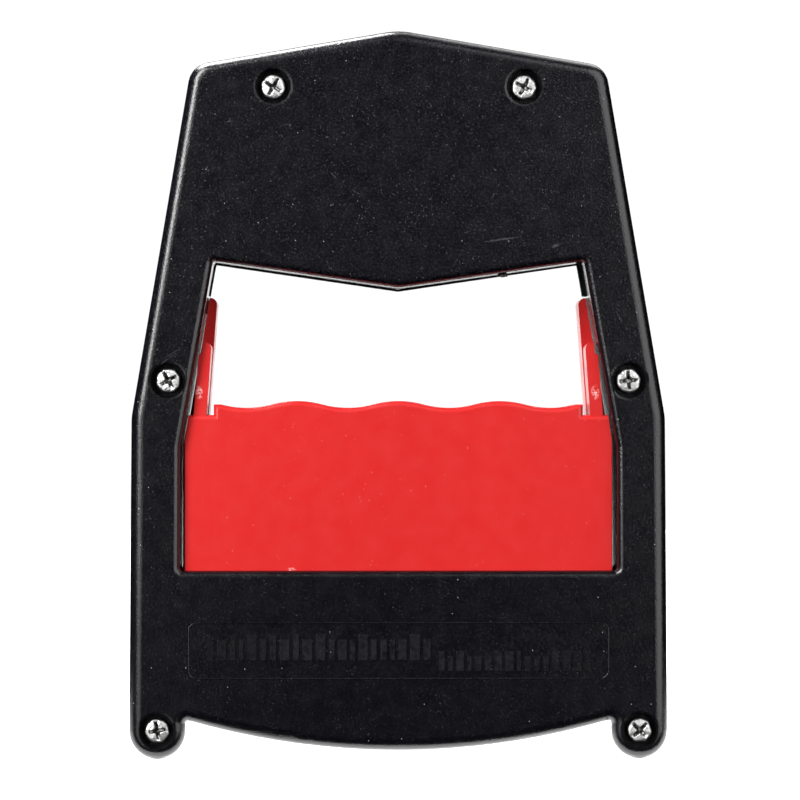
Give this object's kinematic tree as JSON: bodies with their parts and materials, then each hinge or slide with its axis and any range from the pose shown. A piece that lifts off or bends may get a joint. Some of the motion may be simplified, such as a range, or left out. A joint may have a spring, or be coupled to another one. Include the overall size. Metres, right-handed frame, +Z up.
{
  "type": "hand dynamometer",
  "caption": "Hand-held grip strength tester: flat case with a finger opening, a scalloped pull handle on coil springs and a dial with a peak pointer on the front.",
  "frame": {"origin": "point on the standing surface under the middle of the case, on the parting plane", "axes": "+Z up from the two bottom lobes to the roof, +Y out of the dial face, -Y out of the rear cover, +X to the right as seen from the rear"},
  "size_m": [0.127, 0.025, 0.1717],
  "materials": {
    "case_plastic": "fine moulded grain, satin",
    "handle_plastic": "fine moulded grain, satin red",
    "zinc_screw": "bright zinc, worn",
    "steel": "bright rolled steel",
    "spring_steel": "dark drawn wire",
    "brass": "turned brass",
    "acetal": "natural acetal",
    "dial_face": "matt white enamel, printed scale",
    "drive_pointer_paint": "matt black",
    "peak_pointer_paint": "matt red",
    "window": "clear acrylic",
    "bezel_plastic": "gloss black"
  },
  "bodies": {
    "root": {"rear_cover": "case_plastic", "front_cover": "case_plastic", "case_screws": "zinc_screw", "left_spring_seat": "acetal", "right_spring_seat": "acetal", "left_main_spring": "spring_steel", "right_main_spring": "spring_steel", "movement_plate": "steel", "movement_pillars": "brass", "movement_screws": "zinc_screw", "rack_guide": "acetal", "rear_arbor_bush": "brass", "front_arbor_bush": "brass", "dial_plate": "dial_face", "dial_screws": "zinc_screw", "window_lens": "window", "window_bezel": "bezel_plastic", "lens_bush": "brass", "friction_washer": "steel"},
    "handle": {"handle_rear_shell": "handle_plastic", "handle_front_shell": "handle_plastic", "handle_screws": "zinc_screw", "handle_core_bar": "steel", "left_spring_cup": "steel", "right_spring_cup": "steel", "left_guide_rod": "steel", "right_guide_rod": "steel", "rack_strap": "steel", "strap_pin": "steel", "drive_rack": "brass", "rack_rivets": "brass"},
    "pointer": {"pointer_arbor": "steel", "drive_pinion": "brass", "pointer_hub": "brass", "drive_pointer": "drive_pointer_paint"},
    "peak": {"knob_stem": "steel", "peak_pointer": "peak_pointer_paint", "stem_clip": "steel", "reset_knob": "bezel_plastic"}
  },
  "joints": [
    {"name": "handle_slide", "type": "slide", "parent": "root", "child": "handle", "axis": [0, 0, -1], "range_m": [0, 0.01178], "stiffness_N_per_m": 108000, "springref_m": -0.001, "deforming": ["left_main_spring", "right_main_spring"]},
    {"name": "pointer_spin", "type": "hinge", "parent": "root", "child": "pointer", "pos_m": [0, 0, 0.133], "axis": [0, -1, 0], "range_deg": [0, 180]},
    {"name": "peak_spin", "type": "hinge", "parent": "root", "child": "peak", "pos_m": [0, 0, 0.133], "axis": [0, -1, 0], "range_deg": [0, 180]}
  ],
  "couplings": [
    {"joint": "pointer_spin", "follows": "handle_slide", "rad_per_m": 266.67}
  ]
}
